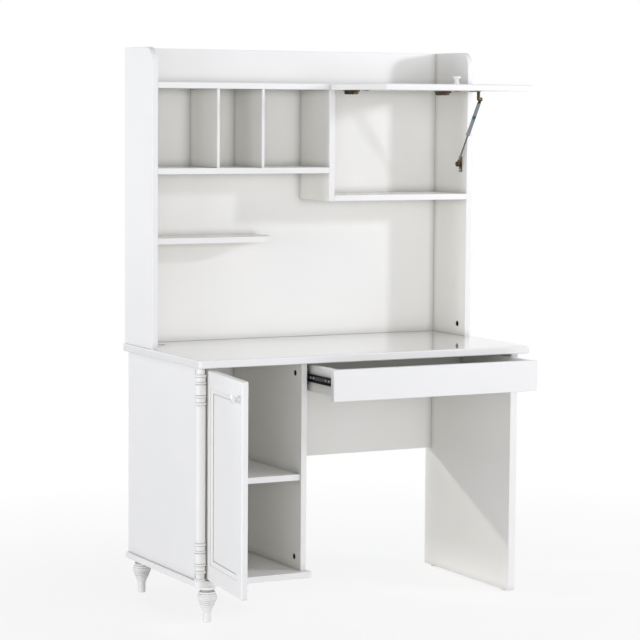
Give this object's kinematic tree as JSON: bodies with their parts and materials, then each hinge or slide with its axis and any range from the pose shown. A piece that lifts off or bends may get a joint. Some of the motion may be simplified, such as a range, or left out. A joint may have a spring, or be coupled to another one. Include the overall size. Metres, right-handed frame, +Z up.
{
  "type": "student desk with hutch",
  "caption": "White study desk with a raised hutch, side cabinet with hinged door, drawer on ball slides, lift-up flap cupboard and open cubbies.",
  "frame": {"origin": "on the floor, under the middle of the whole desk as it stands with door open and drawer pulled out", "axes": "+Z up, +X to the user's right, the user sits on the -Y side"},
  "size_m": [1.1152, 0.8252, 1.651],
  "materials": {
    "white_board": "satin white lacquer on board",
    "white_gloss": "gloss white worktop",
    "turned_white": "white lacquered turned wood",
    "knob_white": "glossy white",
    "white_plastic": "moulded white plastic",
    "bronze": "dark bronze plating",
    "black_metal": "black zinc coat",
    "dark_cam": "dark zinc",
    "steel": "zinc plated",
    "strut_chrome": "ground rod",
    "strut_silver": "silver paint"
  },
  "bodies": {
    "desk": {"left_side_panel": "white_board", "corner_post": "white_board", "cabinet_base": "white_board", "cabinet_partition": "white_board", "cabinet_back": "white_board", "cabinet_shelf": "white_board", "right_leg_panel": "white_board", "modesty_panel": "white_board", "hutch_left_side": "white_board", "hutch_right_side": "white_board", "hutch_back": "white_board", "top_shelf": "white_board", "cubby_shelf": "white_board", "left_cubby_divider": "white_board", "right_cubby_divider": "white_board", "hutch_partition": "white_board", "cupboard_floor": "white_board", "corner_shelf": "white_board", "desktop": "white_gloss", "turned_column": "turned_white", "front_foot": "turned_white", "rear_foot": "turned_white", "cable_grommet": "white_plastic", "leg_glides": "white_plastic", "shelf_pins": "steel", "cam_locks": "dark_cam", "door_hinge_arms": "bronze", "door_hinge_plates": "bronze", "flap_hinge_arms": "bronze", "flap_hinge_plates": "bronze", "left_slide_rail": "black_metal", "right_slide_rail": "black_metal", "strut_side_bracket": "bronze"},
    "door": {"cabinet_door": "white_board", "door_knob": "knob_white", "door_knob_screw": "steel", "door_hinge_cups": "bronze", "door_hinge_pins": "steel"},
    "drawer": {"drawer_front": "white_board", "drawer_left_side": "white_board", "drawer_right_side": "white_board", "drawer_back": "white_board", "drawer_bottom": "white_board", "left_slide_runner": "black_metal", "right_slide_runner": "black_metal"},
    "ball_cages": {"left_ball_cage": "black_metal", "right_ball_cage": "black_metal", "slide_balls": "steel"},
    "flap": {"flap_door": "white_board", "flap_knob": "knob_white", "flap_knob_screw": "steel", "flap_hinge_cups": "bronze", "flap_hinge_pins": "steel", "strut_flap_bracket": "bronze"},
    "strut_lower": {"strut_rod": "strut_chrome", "strut_rod_end": "bronze"},
    "strut_upper": {"strut_cylinder": "strut_silver", "strut_cylinder_end": "bronze"}
  },
  "joints": [
    {"name": "door_swing", "type": "hinge", "parent": "desk", "child": "door", "pos_m": [-0.4965, -0.09937, 0.428], "axis": [0, 0, 1], "range_deg": [-8, 97]},
    {"name": "drawer_slide", "type": "slide", "parent": "desk", "child": "drawer", "axis": [0, -1, 0], "range_m": [-0.151, 0.105]},
    {"name": "cage_slide", "type": "slide", "parent": "desk", "child": "ball_cages", "axis": [0, -1, 0], "range_m": [-0.0755, 0.0525]},
    {"name": "flap_lift", "type": "hinge", "parent": "desk", "child": "flap", "pos_m": [0, 0.19313, 1.54], "axis": [1, 0, 0], "range_deg": [0, 90]},
    {"name": "strut_swing", "type": "hinge", "parent": "desk", "child": "strut_lower", "pos_m": [0.516, 0.24113, 1.303], "axis": [1, 0, 0], "range_deg": [-27.82, 0]},
    {"name": "strut_stroke", "type": "slide", "parent": "strut_lower", "child": "strut_upper", "axis": [0, -0.5451, 0.8383], "range_m": [-0.08851, 0]}
  ],
  "couplings": [
    {"joint": "cage_slide", "follows": "drawer_slide", "ratio": 0.5},
    {"joint": "strut_swing", "follows": "flap_lift", "ratio": -0.30895},
    {"joint": "strut_stroke", "follows": "flap_lift", "m_per_rad": -0.056343}
  ]
}
